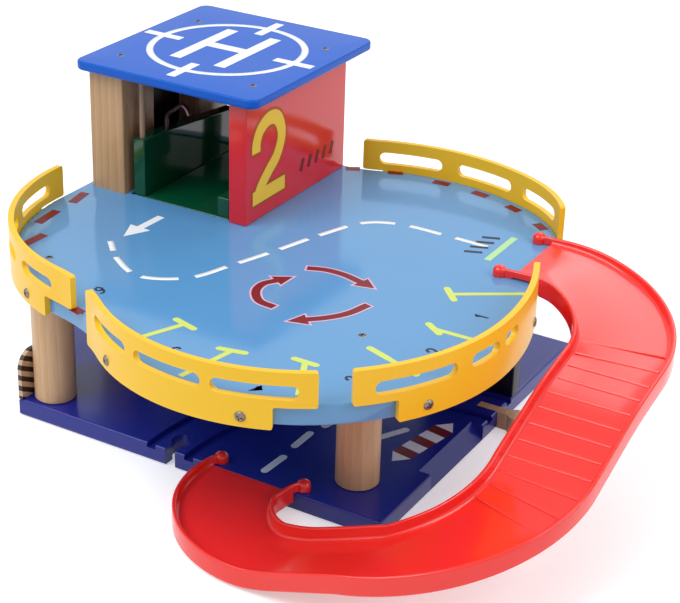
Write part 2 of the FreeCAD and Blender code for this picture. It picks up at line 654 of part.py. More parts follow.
baseBoard()
trackPeg()
sideBoard()
dowelPost("front_left_post", *dowels[0])
dowelPost("front_right_post", *dowels[1])
tower()
guideRod()
deckBoard()
for rail in rails:
    guardRail(*rail)
towerRoof()
liftCar()
ramp()
for i, (x, y) in enumerate(baseScrews, start=1):
    screw("base_screw_%d" % i, at(x, y, sinkDeep), -up, 25)
for i, (x, y) in enumerate(dowels, start=1):
    screw("deck_screw_%d" % i, at(x, y, deckTop), up, 28)
for i, (x, y) in enumerate(towerScrews, start=1):
    screw("roof_screw_%d" % i, at(x, y, roofTop), up, 22)
for i, (place, outward) in enumerate(railScrewPlaces(size("railThick")), start=1):
    screw("rail_screw_%d" % i, place, outward, 14)

# Checks, then one file for each piece
doc.recompute()
for obj in doc.Objects:
    if "Invalid" in obj.State or "Error" in obj.State:
        raise RuntimeError("failed object: " + obj.Name)
os.makedirs("parts", exist_ok=True)
for obj in nodes:
    shape = obj.Shape
    if shape.isNull() or not shape.isValid():
        raise RuntimeError("bad shape: " + obj.Label)
    print("%-22s solids %d volume %.0f" % (obj.Label, len(shape.Solids), shape.Volume))
    shape.exportStep("parts/%s.step" % obj.Label)
print("pieces", len(nodes), "ramp length", round(rampLong, 1))
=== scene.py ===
import json
import math
import bpy
import bmesh
from mathutils import Matrix, Vector


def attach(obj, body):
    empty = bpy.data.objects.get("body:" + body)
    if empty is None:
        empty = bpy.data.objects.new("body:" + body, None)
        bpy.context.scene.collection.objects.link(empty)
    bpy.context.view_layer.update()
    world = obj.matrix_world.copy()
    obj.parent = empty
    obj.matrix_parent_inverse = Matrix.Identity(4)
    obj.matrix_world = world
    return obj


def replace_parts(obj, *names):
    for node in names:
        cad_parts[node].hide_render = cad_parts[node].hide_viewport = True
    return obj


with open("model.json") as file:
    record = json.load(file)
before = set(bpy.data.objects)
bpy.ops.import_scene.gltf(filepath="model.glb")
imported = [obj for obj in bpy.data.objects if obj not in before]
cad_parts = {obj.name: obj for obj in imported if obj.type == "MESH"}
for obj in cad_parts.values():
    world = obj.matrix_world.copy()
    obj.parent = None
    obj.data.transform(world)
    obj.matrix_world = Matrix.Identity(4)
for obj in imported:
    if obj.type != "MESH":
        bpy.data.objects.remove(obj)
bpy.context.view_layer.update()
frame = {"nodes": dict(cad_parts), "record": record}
nodes = frame["nodes"]
print("frame loaded with", len(nodes), "CAD nodes")

mm = 0.001
centreX = 124       # half of the base board, so that places read from its front left corner
centreY = 125
levels = {"baseTop": 11, "deckTop": 102, "roofTop": 186}
panelFace = 86      # outer face of the red side panel
film = 0.12         # thickness of printed paint
rimFilm = film * 0.6
layerStep = 0.012   # strokes of one print that cross stand this much above each other
layerCount = 4


def at(x, y, z=0.0):
    return Vector(((x - centreX) * mm, (y - centreY) * mm, z * mm))


def newObject(name, data):
    made = bpy.data.objects.new(name, data)
    bpy.context.collection.objects.link(made)
    return made


def evaluatedMesh(obj):
    bpy.context.view_layer.update()
    return bpy.data.meshes.new_from_object(obj.evaluated_get(bpy.context.evaluated_depsgraph_get()))


# Shader groups
def shaderGroup(name, inputs, outputs):
    group = bpy.data.node_groups.new(name, "ShaderNodeTree")
    for label, kind, value in inputs:
        socket = group.interface.new_socket(name=label, in_out="INPUT", socket_type="NodeSocket" + kind)
        socket.default_value = value
    for label, kind in outputs:
        group.interface.new_socket(name=label, in_out="OUTPUT", socket_type="NodeSocket" + kind)
    return group, group.nodes.new("NodeGroupInput"), group.nodes.new("NodeGroupOutput")


def node(tree, kind, links=None, **settings):
    made = tree.nodes.new(kind)
    for key, value in settings.items():
        setattr(made, key, value)
    for key, value in (links or {}).items():
        socket = made.inputs[key]
        if isinstance(value, bpy.types.NodeSocket):
            tree.links.new(value, socket)
        else:
            socket.default_value = value
    return made


def math2(tree, operation, a, b=0.0):
    return node(tree, "ShaderNodeMath", {0: a, 1: b}, operation=operation).outputs[0]


def aboutZero(tree, value):
    # Moves a value that runs about a half, as noise does
    return math2(tree, "SUBTRACT", value, 0.5)


def noise(tree, vector, scale, detail, output="Fac", **more):
    links = {"Vector": vector, "Scale": scale, "Detail": detail, **more}
    return node(tree, "ShaderNodeTexNoise", links).outputs[output]


def mixColor(tree, factor, a, b, blend="MIX"):
    # Sockets 0, 6 and 7 are the factor and the two colours of a colour mix, and output 2 is its result
    return node(tree, "ShaderNodeMix", {0: factor, 6: a, 7: b}, data_type="RGBA", blend_type=blend).outputs[2]


def srgb(r, g, b):
    parts = [v / 255 for v in (r, g, b)]
    return tuple(v / 12.92 if v <= 0.04045 else ((v + 0.055) / 1.055) ** 2.4 for v in parts) + (1.0,)


effectOutputs = [("Color", "Color"), ("Roughness", "Float"), ("Height", "Float")]
filmLook = {"cloud": 22.0, "grain": (14.0, 260.0, 260.0), "peel": 900.0, "streak": 0.6, "unevenGloss": 0.12}
grainLook = {"wander": 0.35, "broad": 1.1, "pores": 9.0, "poreFrom": 0.56, "poreTo": 0.72, "bandShare": 0.45,
             "broadShare": 0.55, "poreDark": 0.45, "poreRough": 0.18, "rough": 0.38, "relief": 0.3}


def paintFilmGroup():
    # Sprayed paint on board: soft clouding, a trace of the grain below and fine orange peel
    inputs = [("Color", "Color", (0.5, 0.5, 0.5, 1)), ("Cloud", "Float", 0.06), ("Roughness", "Float", 0.3),
              ("Peel", "Float", 0.4)]
    group, inp, out = shaderGroup("paintFilm", inputs, effectOutputs)
    spot = node(group, "ShaderNodeTexCoord").outputs["Object"]
    cloud = noise(group, spot, filmLook["cloud"], 3.0)
    stretched = node(group, "ShaderNodeMapping", {"Vector": spot, "Scale": filmLook["grain"]}).outputs[0]
    grain = noise(group, stretched, 1.0, 4.0)
    peel = noise(group, spot, filmLook["peel"], 1.0)
    shade = math2(group, "MULTIPLY", aboutZero(group, cloud), inp.outputs["Cloud"])
    faint = math2(group, "MULTIPLY", inp.outputs["Cloud"], filmLook["streak"])
    streak = math2(group, "MULTIPLY", aboutZero(group, grain), faint)
    total = math2(group, "ADD", math2(group, "ADD", shade, streak), 1.0)
    bright = node(group, "ShaderNodeCombineXYZ", {0: total, 1: total, 2: total}).outputs[0]
    tinted = mixColor(group, 1.0, inp.outputs["Color"], bright, "MULTIPLY")
    group.links.new(tinted, out.inputs["Color"])
    uneven = math2(group, "MULTIPLY", aboutZero(group, cloud), filmLook["unevenGloss"])
    group.links.new(math2(group, "ADD", inp.outputs["Roughness"], uneven), out.inputs["Roughness"])
    group.links.new(math2(group, "MULTIPLY", peel, inp.outputs["Peel"]), out.inputs["Height"])
    return group


def woodGrainGroup():
    # Pale hardwood: long wavy bands, short dark pores and a slight change from face to face
    inputs = [("Vector", "Vector", (0, 0, 0)), ("Light", "Color", (0.6, 0.4, 0.2, 1)),
              ("Dark", "Color", (0.4, 0.2, 0.1, 1)), ("Bands", "Float", 1.0)]
    group, inp, out = shaderGroup("woodGrain", inputs, effectOutputs)
    spot = inp.outputs["Vector"]
    wander = noise(group, spot, grainLook["wander"], 2.0, "Color")
    bent = node(group, "ShaderNodeVectorMath", {0: spot, 1: wander}, operation="ADD").outputs[0]
    wave = {"Vector": bent, "Scale": inp.outputs["Bands"], "Distortion": 5.0, "Detail": 2.0,
            "Detail Scale": 0.8}
    bands = node(group, "ShaderNodeTexWave", wave, bands_direction="X", wave_profile="SAW").outputs["Fac"]
    broad = noise(group, bent, grainLook["broad"], 5.0, Roughness=0.65)
    pores = noise(group, spot, grainLook["pores"], 2.0)
    limits = {"Value": pores, "From Min": grainLook["poreFrom"], "From Max": grainLook["poreTo"]}
    poreMask = node(group, "ShaderNodeMapRange", limits).outputs[0]
    mask = math2(group, "ADD", math2(group, "MULTIPLY", bands, grainLook["bandShare"]),
                 math2(group, "MULTIPLY", broad, grainLook["broadShare"]))
    color = mixColor(group, mask, inp.outputs["Light"], inp.outputs["Dark"])
    deep = math2(group, "MULTIPLY", poreMask, grainLook["poreDark"])
    group.links.new(mixColor(group, deep, color, inp.outputs["Dark"]), out.inputs["Color"])
    dull = math2(group, "MULTIPLY", poreMask, grainLook["poreRough"])
    group.links.new(math2(group, "ADD", dull, grainLook["rough"]), out.inputs["Roughness"])
    raised = math2(group, "MULTIPLY", mask, grainLook["relief"])
    group.links.new(math2(group, "SUBTRACT", raised, poreMask), out.inputs["Height"])
    return group


paintFilm = paintFilmGroup()
woodGrain = woodGrainGroup()


def newMaterial(name):
    made = bpy.data.materials.new(name)
    made.use_nodes = True
    tree = made.node_tree
    return made, tree, tree.nodes["Principled BSDF"]


def finishMaterial(tree, shader, effect, bump, distance):
    tree.links.new(effect.outputs["Color"], shader.inputs["Base Color"])
    tree.links.new(effect.outputs["Roughness"], shader.inputs["Roughness"])
    height = {"Height": effect.outputs["Height"], "Strength": bump, "Distance": distance}
    raised = node(tree, "ShaderNodeBump", height)
    tree.links.new(raised.outputs[0], shader.inputs["Normal"])


def paint(name, color, rough=0.3, cloud=0.06, coat=0.1, bump=0.1, specular=0.3):
    made, tree, shader = newMaterial(name)
    effect = node(tree, "ShaderNodeGroup", node_tree=paintFilm)
    effect.inputs["Color"].default_value = srgb(*color)
    effect.inputs["Cloud"].default_value = cloud
    effect.inputs["Roughness"].default_value = rough
    shader.inputs["Coat Weight"].default_value = coat
    shader.inputs["Coat Roughness"].default_value = 0.1
    shader.inputs["Specular IOR Level"].default_value = specular
    finishMaterial(tree, shader, effect, bump, distance=0.0002)
    return made


def grainEffect(tree, vector, light, dark):
    effect = node(tree, "ShaderNodeGroup", {"Vector": vector}, node_tree=woodGrain)
    effect.inputs["Light"].default_value = srgb(*light)
    effect.inputs["Dark"].default_value = srgb(*dark)
    return effect


def wood(name, light, dark, squeeze=(90.0, 90.0, 7.0), bands=1.0):
    made, tree, shader = newMaterial(name)
    spot = node(tree, "ShaderNodeTexCoord").outputs["Object"]
    mapped = node(tree, "ShaderNodeMapping", {"Vector": spot, "Scale": squeeze}).outputs[0]
    effect = grainEffect(tree, mapped, light, dark)
    effect.inputs["Bands"].default_value = bands
    shader.inputs["Coat Weight"].default_value = 0.15
    finishMaterial(tree, shader, effect, bump=0.35, distance=0.0003)
    return made


def steel(name, color, rough, darker=0.72):
    made, tree, shader = newMaterial(name)
    spot = node(tree, "ShaderNodeTexCoord").outputs["Object"]
    brushed = noise(tree, spot, 700.0, 3.0)
    dull = math2(tree, "ADD", math2(tree, "MULTIPLY", brushed, 0.2), rough)
    tone = mixColor(tree, brushed, srgb(*color), srgb(*[c * darker for c in color]))
    tree.links.new(tone, shader.inputs["Base Color"])
    tree.links.new(dull, shader.inputs["Roughness"])
    shader.inputs["Metallic"].default_value = 1.0
    return made


def stripedPaint(name, pale, dark, run, drop, period, soft=0.015):
    # Diagonal stripes on the side board: they fall by drop over each run towards the back
    made, tree, shader = newMaterial(name)
    spot = node(tree, "ShaderNodeTexCoord").outputs["Object"]
    parts = node(tree, "ShaderNodeSeparateXYZ", {0: spot})
    slant = math2(tree, "ADD", math2(tree, "MULTIPLY", parts.outputs["Y"], drop / run), parts.outputs["Z"])
    phase = math2(tree, "FRACT", math2(tree, "DIVIDE", slant, period * mm))
    fromMiddle = math2(tree, "ABSOLUTE", aboutZero(tree, phase))
    limits = {"Value": fromMiddle, "From Min": 0.25 - soft, "From Max": 0.25 + soft}
    edge = node(tree, "ShaderNodeMapRange", limits).outputs[0]
    mapped = node(tree, "ShaderNodeMapping", {"Vector": spot, "Scale": (60.0, 9.0, 90.0)}).outputs[0]
    effect = grainEffect(tree, mapped, pale, [c * 0.8 for c in pale])
    color = mixColor(tree, edge, effect.outputs["Color"], srgb(*dark))
    tree.links.new(color, shader.inputs["Base Color"])
    tree.links.new(effect.outputs["Roughness"], shader.inputs["Roughness"])
    return made


finishes = {
    "base_blue": paint("baseBlue", (30, 40, 142), rough=0.24, cloud=0.08, specular=0.4),
    "deck_blue": paint("deckBlue", (92, 152, 204), rough=0.12, cloud=0.04, coat=0.0, bump=0.04, specular=0.5),
    "rail_yellow": paint("railYellow", (246, 196, 36), rough=0.34),
    "roof_blue": paint("roofBlue", (2, 90, 196), rough=0.3, coat=0.0, specular=0.2),
    "panel_red": paint("panelRed", (224, 36, 46), rough=0.14, coat=0.0, bump=0.05, specular=0.5),
    "dark_blue": paint("darkBlue", (12, 12, 34), rough=0.3, coat=0.0, specular=0.3),
    "lift_green": paint("liftGreen", (8, 78, 50), rough=0.1, cloud=0.04, coat=0.0, bump=0.04, specular=0.5),
    "bare_wood": wood("bareWood", (222, 186, 142), (196, 152, 110), bands=0.6),
    "tower_wood": wood("towerWood", (206, 168, 122), (172, 128, 88), bands=0.6),
    "dowel_rod": wood("dowelRod", (190, 158, 132), (140, 108, 84)),
    "striped_wood": stripedPaint("stripedWood", (232, 200, 162), (48, 20, 12), 26, 14, 7.0),
    "hook_metal": steel("hookMetal", (150, 118, 124), 0.3),
    "screw_steel": steel("screwSteel", (150, 140, 128), 0.3),
    "ramp_red": paint("rampRed", (244, 38, 30), rough=0.2, cloud=0.02, coat=0.4, bump=0.05, specular=0.4),
}
flat = {"rough": 0.4, "coat": 0.0}
prints = {
    "white": paint("printWhite", (240, 244, 248), **flat),
    "darkRed": paint("printDarkRed", (120, 18, 28), **flat),
    "pale": paint("printPaleRim", (214, 176, 200), **flat),
    "lime": paint("printLime", (208, 222, 110), **flat),
    "black": paint("printBlack", (30, 34, 56), **flat),
    "yellow": paint("printYellow", (250, 202, 60), **flat),
    "amber": paint("printAmber", (176, 70, 14), **flat),
    "green": paint("printGreen", (176, 222, 160), **flat),
}
print("materials ready:", len(bpy.data.materials))


# Geometry node trees: each takes a shape in and gives one out, next to its own inputs
def newTree(name, inputs):
    tree = bpy.data.node_groups.new(name, "GeometryNodeTree")
    tree.interface.new_socket(name="Geometry", in_out="INPUT", socket_type="NodeSocketGeometry")
    for label, kind in inputs:
        tree.interface.new_socket(name=label, in_out="INPUT", socket_type="NodeSocket" + kind)
    tree.interface.new_socket(name="Geometry", in_out="OUTPUT", socket_type="NodeSocketGeometry")
    return tree, node(tree, "NodeGroupInput"), node(tree, "NodeGroupOutput")


def smoothTree(weldDistance=0.000002, sharpAngle=0.6):
    tree, inp, out = newTree("weldAndSmooth", [])
    welds = {"Geometry": inp.outputs[0], "Distance": weldDistance}
    welded = node(tree, "GeometryNodeMergeByDistance", welds)
    edge = node(tree, "GeometryNodeInputMeshEdgeAngle").outputs["Unsigned Angle"]
    soft = node(tree, "FunctionNodeCompare", {0: edge, 1: sharpAngle}, operation="LESS_THAN").outputs[0]
    shading = {"Geometry": welded.outputs[0], "Shade Smooth": True}
    faces = node(tree, "GeometryNodeSetShadeSmooth", shading, domain="FACE")
    shading = {"Geometry": faces.outputs[0], "Shade Smooth": soft}
    edges = node(tree, "GeometryNodeSetShadeSmooth", shading, domain="EDGE")
    tree.links.new(edges.outputs[0], out.inputs[0])
    return tree


# CAD nodes keep their shape: welded and smoothed for shading, and finished by their slot
weldAndSmooth = smoothTree()
slotOf = {row["node"]: row["material_slot"] for row in frame["record"]["subparts"]}
for name, obj in nodes.items():
    finish = finishes[slotOf[name]]
    if not obj.material_slots:
        obj.data.materials.append(finish)
    for slot in obj.material_slots:
        slot.material = finish
    modifier = obj.modifiers.new("weldAndSmooth", "NODES")
    modifier.node_group = weldAndSmooth
print("CAD nodes finished")


# Paths of straight runs and arcs, left turns positive, with a point and a heading at each distance
def runLength(run):
    return run[1] if run[0] == "line" else run[1] * math.radians(abs(run[2]))


def along(start, heading, runs, distance, tiny=1e-9):
    point, angle = Vector((start[0], start[1])), math.radians(heading)
    for run in runs:
        step = min(distance, runLength(run)) if run is not runs[-1] else distance
        if run[0] == "line":
            point = point + Vector((math.cos(angle), math.sin(angle))) * step
        else:
            side = 1 if run[2] > 0 else -1
            hub = point + Vector((-math.sin(angle), math.cos(angle))) * run[1] * side
            turn = step / run[1] * side
            point = hub + Matrix.Rotation(turn, 2) @ (point - hub)
            angle += turn
        distance -= step
        if distance <= tiny:
            break
    return point, angle


def socketId(tree, label):
    return next(item.identifier for item in tree.interface.items_tree
                if item.name == label and item.in_out == "INPUT")


def finishTree(tree, inp, out, geometry):
    real = node(tree, "GeometryNodeRealizeInstances", {"Geometry": geometry})
    look = {"Geometry": real.outputs[0], "Material": inp.outputs["Material"]}
    done = node(tree, "GeometryNodeSetMaterial", look)
    tree.links.new(done.outputs[0], out.inputs[0])
    return tree


def runTree(source, tree, values, name, body):
    modifier = source.modifiers.new(tree.name, "NODES")
    modifier.node_group = tree
    for label, value in values.items():
        modifier[socketId(tree, label)] = value
    mesh = evaluatedMesh(source)
    mesh.name = name
    made = newObject(name, mesh)
    bpy.data.objects.remove(source)
    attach(made, body)
    return made


def dashTree(weldDistance=0.000001):
    # Printed dashes: a flat ribbon along the curve, cut into dashes and raised by the paint's thickness
    tree, inp, out = newTree("printedDashes", [("Width", "Float"), ("Dash", "Float"), ("Spacing", "Float"),
                                               ("Thickness", "Float"), ("Material", "Material")])
    spline = node(tree, "GeometryNodeSplineParameter").outputs["Length"]
    mark = {"Geometry": inp.outputs["Geometry"], "Name": "alongPath", "Value": spline}
    marked = node(tree, "GeometryNodeStoreNamedAttribute", mark, domain="POINT", data_type="FLOAT")
    upright = node(tree, "GeometryNodeSetCurveNormal", {"Curve": marked.outputs[0]}, mode="Z_UP")
    left = node(tree, "ShaderNodeCombineXYZ", {0: math2(tree, "MULTIPLY", inp.outputs["Width"], 0.5)})
    right = node(tree, "ShaderNodeCombineXYZ", {0: math2(tree, "MULTIPLY", inp.outputs["Width"], -0.5)})
    ends = {"Start": left.outputs[0], "End": right.outputs[0]}
    profile = node(tree, "GeometryNodeCurvePrimitiveLine", ends)
    swept = {"Curve": upright.outputs[0], "Profile Curve": profile.outputs[0]}
    ribbon = node(tree, "GeometryNodeCurveToMesh", swept)
    stored = node(tree, "GeometryNodeInputNamedAttribute", {"Name": "alongPath"}, data_type="FLOAT")
    phase = math2(tree, "FLOORED_MODULO", stored.outputs[0], inp.outputs["Spacing"])
    pair = {0: phase, 1: inp.outputs["Dash"]}
    gap = node(tree, "FunctionNodeCompare", pair, operation="GREATER_THAN").outputs[0]
    onFaces = node(tree, "GeometryNodeFieldOnDomain", {0: gap}, domain="FACE", data_type="BOOLEAN")
    cut = {"Geometry": ribbon.outputs[0], "Selection": onFaces.outputs[0]}
    dashes = node(tree, "GeometryNodeDeleteGeometry", cut, domain="FACE")
    lift = node(tree, "ShaderNodeCombineXYZ", {2: inp.outputs["Thickness"]})
    extrude = {"Mesh": dashes.outputs[0], "Offset": lift.outputs[0], "Offset Scale": 1.0, "Individual": False}
    raised = node(tree, "GeometryNodeExtrudeMesh", extrude, mode="FACES")
    under = node(tree, "GeometryNodeFlipFaces", {"Mesh": dashes.outputs[0]})
    both = node(tree, "GeometryNodeJoinGeometry")
    tree.links.new(raised.outputs[0], both.inputs[0])
    tree.links.new(under.outputs[0], both.inputs[0])
    welds = {"Geometry": both.outputs[0], "Distance": weldDistance}
    closed = node(tree, "GeometryNodeMergeByDistance", welds)
    return finishTree(tree, inp, out, closed.outputs[0])


def curveObject(name, points):
    data = bpy.data.curves.new(name, "CURVE")
    data.dimensions = "3D"
    spline = data.splines.new("POLY")
    spline.points.add(len(points) - 1)
    for slot, point in zip(spline.points, points):
        slot.co = (*point, 1.0)
    return newObject(name, data)


printedDashes = dashTree()


def printAlong(name, points, width, material, dash=10000.0, spacing=20000.0):
    # The default dash is longer than any line, so the line stays whole
    values = {"Width": width * mm, "Dash": dash * mm, "Spacing": spacing * mm, "Thickness": film * mm,
              "Material": material}
    return runTree(curveObject(name, points), printedDashes, values, name, "garage")


# Camera that sees the garage as the photograph does
camera = {"azimuth": 29.56, "elevation": 26.34, "roll": 1.82, "place": (624.28, -715.79, 543.09),
          "focal": 94.75, "sensor": 36, "nearest": 0.01}


def placeCamera():
    az, el, roll = (math.radians(camera[key]) for key in ("azimuth", "elevation", "roll"))
    back = Vector((math.sin(az) * math.cos(el), -math.cos(az) * math.cos(el), math.sin(el)))
    side = Vector((math.cos(az), math.sin(az), 0))
    upward = back.cross(side)
    right = side * math.cos(roll) + upward * math.sin(roll)
    top = upward * math.cos(roll) - side * math.sin(roll)
    data = bpy.data.cameras.new("photoCamera")
    data.lens = camera["focal"]
    data.sensor_width = camera["sensor"]
    data.sensor_fit = "HORIZONTAL"
    data.clip_start = camera["nearest"]
    obj = newObject("photoCamera", data)
    turned = Matrix((right, top, back)).transposed().to_4x4()
    obj.matrix_world = Matrix.Translation(at(*camera["place"])) @ turned
    bpy.context.scene.camera = obj


placeCamera()
print("camera placed")

# Studio: pale floor, soft lamps and an even white world, in metres
floorLook = {"reach": 4.0, "level": -0.0002, "color": (0.86, 0.86, 0.87, 1), "rough": 0.9, "glow": 0.42}
skyLight = 0.42     # what the white world gives as light; seen directly it is full white
lampAim = (0, 0, 0.08)
lamps = [
    {"name": "keyLamp", "place": (-0.5, -0.9, 1.5), "size": 1.1, "power": 19.0},
    {"name": "rightLamp", "place": (1.4, 0.1, 1.1), "size": 1.0, "power": 10.0},
    {"name": "backLamp", "place": (0.1, 1.4, 1.5), "size": 1.2, "power": 9.0},
]


def seenDirectly(tree):
    # One for rays from the camera, also in a mirror or through glass, and zero for light on other things
    light = node(tree, "ShaderNodeLightPath")
    mirrored = math2(tree, "MAXIMUM", light.outputs["Is Glossy Ray"], light.outputs["Is Transmission Ray"])
    return math2(tree, "MAXIMUM", light.outputs["Is Camera Ray"], mirrored)


def studioFloor():
    data = bpy.data.meshes.new("studioFloor")
    reach, low = floorLook["reach"], floorLook["level"]
    corners = [(-reach, -reach, low), (reach, -reach, low), (reach, reach, low), (-reach, reach, low)]
    data.from_pydata(corners, [], [(0, 1, 2, 3)])
    floor = newObject("studioFloor", data)
    made, tree, shader = newMaterial("studioFloor")
    shader.inputs["Base Color"].default_value = floorLook["color"]
    shader.inputs["Roughness"].default_value = floorLook["rough"]
    strength = math2(tree, "MULTIPLY", seenDirectly(tree), floorLook["glow"])
    glow = node(tree, "ShaderNodeEmission", {"Strength": strength})
    total = node(tree, "ShaderNodeAddShader", {0: shader.outputs[0], 1: glow.outputs[0]})
    tree.links.new(total.outputs[0], tree.nodes["Material Output"].inputs["Surface"])
    data.materials.append(made)


def studioSky():
    world = bpy.data.worlds.new("studioWorld")
    bpy.context.scene.world = world
    world.use_nodes = True
    tree = world.node_tree
    limits = {"Value": seenDirectly(tree), "To Min": skyLight, "To Max": 1.0}
    strength = node(tree, "ShaderNodeMapRange", limits).outputs[0]
    sky = tree.nodes["Background"]
    sky.inputs["Color"].default_value = (1, 1, 1, 1)
    tree.links.new(strength, sky.inputs["Strength"])


def placeLamps():
    for row in lamps:
        data = bpy.data.lights.new(row["name"], "AREA")
        data.size = row["size"]
        data.energy = row["power"]
        obj = newObject(row["name"], data)
        place = Vector(row["place"])
        toward = (Vector(lampAim) - place).to_track_quat("-Z", "Y").to_matrix().to_4x4()
        obj.matrix_world = Matrix.Translation(place) @ toward


studioFloor()
studioSky()
placeLamps()
bpy.context.scene.view_settings.view_transform = "Standard"
print("studio ready")


# Flat prints: closed films of paint on a flat face, given in that face's own two directions
def onDeck(u, v, h):
    return at(u, v, levels["deckTop"] + h)


def onBase(u, v, h):
    return at(u, v, levels["baseTop"] + h)


def onRoof(u, v, h):
    return at(u, v, levels["roofTop"] + h)


def onPanel(u, v, h):
    return at(panelFace + h, u, v)


def meshPiece(name, mesh, material, body="garage"):
    bmesh.ops.recalc_face_normals(mesh, faces=mesh.faces)
    data = bpy.data.meshes.new(name)
    mesh.to_mesh(data)
    mesh.free()
    data.materials.append(material)
    made = newObject(name, data)
    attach(made, body)
    return made


def prism(mesh, under, over):
    mesh.faces.new(under[::-1])
    mesh.faces.new(over)
    for i in range(len(under)):
        mesh.faces.new((under[i - 1], under[i], over[i], over[i - 1]))


def flatPrint(name, outlines, material, face, high=film):
    mesh = bmesh.new()
    for row, outline in enumerate(outlines):
        top = high + layerStep * (row % layerCount)
        under = [mesh.verts.new(face(u, v, 0.0)) for u, v in outline]
        prism(mesh, under, [mesh.verts.new(face(u, v, top)) for u, v in outline])
    return meshPiece(name, mesh, material)


def smoothLine(points, step=2.0):
    # Catmull-Rom curve through the points
    spots = [Vector(p) for p in points]
    spots = [2 * spots[0] - spots[1]] + spots + [2 * spots[-1] - spots[-2]]
    line = []
    for a, b, c, d in zip(spots, spots[1:], spots[2:], spots[3:]):
        count = max(2, round((c - b).length / step))
        square, cube = 2 * a - 5 * b + 4 * c - d, 3 * b - a - 3 * c + d
        for i in range(count):
            t = i / count
            line.append(0.5 * ((2 * b) + (c - a) * t + square * t * t + cube * t ** 3))
    return line + [spots[-2]]


def sideways(points, i):
    way = (points[min(i + 1, len(points) - 1)] - points[max(i - 1, 0)]).normalized()
    return Vector((-way.y, way.x)), way


def roundEnd(centre, side, way, half, steps=8):
    angles = [k * math.pi / steps for k in range(1, steps)]
    return [centre + side * half * math.cos(a) + way * half * math.sin(a) for a in angles]


def stroke(points, width, roundEnds=False, grow=0.0):
    points = [Vector(p) for p in points]
    half = width / 2 + grow
    left, right = [], []
    for i, point in enumerate(points):
        side, way = sideways(points, i)
        point = point - way * grow * (i == 0) + way * grow * (i == len(points) - 1)
        left.append(point + side * half)
        right.append(point - side * half)
    tip, tail = [], []
    if roundEnds:
        side, way = sideways(points, len(points) - 1)
        tip = roundEnd(points[-1], side, way, half)
        side, way = sideways(points, 0)
        tail = roundEnd(points[0], -side, -way, half)
    return left + tip + right[::-1] + tail


def arrowOutline(points, width, headLong, headWide, grow=0.0, wingGrow=1.6, tipGrow=2.2):
    # A band of even width that ends in a pointed head; a rim grows more at the head's sharp corners
    points = [Vector(p) for p in points]
    side, way = sideways(points, len(points) - 1)
    neck = points[-1]
    body = stroke(points, width, grow=grow)
    left, right = body[:len(points)], body[len(points):]
    wing = headWide / 2 + grow * wingGrow
    back = neck - way * grow
    tip = neck + way * (headLong + grow * tipGrow)
    left[-1] = back + side * (width / 2 + grow)
    right[0] = back - side * (width / 2 + grow)
    return left + [back + side * wing, tip, back - side * wing] + right


def slantedBars(bars):
    (u0, v0), (u1, v1), (du, dv) = bars["from"], bars["to"], bars["step"]
    return [stroke([(u0 + du * i, v0 + dv * i), (u1 + du * i, v1 + dv * i)], bars["width"])
            for i in range(bars["count"])]


# Route on the deck: a white dashed line from the ramp to the lift, and the arrow beyond its end
route = {"points": [(221, 171), (191, 172), (162, 171), (142, 160), (130, 132), (119, 96), (109, 66),
                    (98, 38), (74, 24), (50, 35), (31, 53)],
         "step": 0.75, "width": 3.6, "dash": 22, "spacing": 31.2,
         "arrow": [(35, 99), (34, 79)], "band": 5.0, "headLong": 16, "headWide": 15}
routePoints = [at(p.x, p.y, levels["deckTop"]) for p in smoothLine(route["points"], route["step"])]
printAlong("routeDashes", routePoints, route["width"], prints["white"], route["dash"], route["spacing"])
routeArrow = arrowOutline(route["arrow"], route["band"], route["headLong"], route["headWide"])
flatPrint("routeArrow", [routeArrow], prints["white"], onDeck)

# Three arrows that turn round the middle of the deck, each with a pale rim
turning = {"width": 5.0, "headLong": 11, "headWide": 12, "rim": 1.1,
           "arrows": [[(158, 33), (147, 35), (139, 44), (137, 54), (141, 62)],
                      [(147, 86), (158, 90), (170, 90), (182, 87)],
                      [(200, 64), (196, 49), (189, 38), (181, 30)]]}
turns = [smoothLine(points) for points in turning["arrows"]]
headed = (turning["width"], turning["headLong"], turning["headWide"])
rims = [arrowOutline(line, *headed, grow=turning["rim"]) for line in turns]
flatPrint("turningRims", rims, prints["pale"], onDeck, high=rimFilm)
flatPrint("turningArrows", [arrowOutline(line, *headed) for line in turns], prints["darkRed"], onDeck)

# Parking bays round the edge: a bar across the end of each line, and a small plain number in each bay
bays = {"width": 3.4, "barWidth": 4.08,
        "bars": [((227, 107), (237, 96), (268, 126)), ((239, 62), (249, 55), (279, 59)),
                 ((226, 20), (240, 15), (262, 7)), ((199, -12), (212, -12), (221, -44)),
                 ((160, -24), (174, -21), (160, -60)), ((122, -9), (136, -13), (114, -46))]}
lines = []
for a, b, end in bays["bars"]:
    a, b = Vector(a), Vector(b)
    lines.append(stroke([a, b], bays["barWidth"], roundEnds=True))
    lines.append(stroke([(a + b) / 2, Vector(end)], bays["width"]))
flatPrint("bayLines", lines, prints["lime"], onDeck)

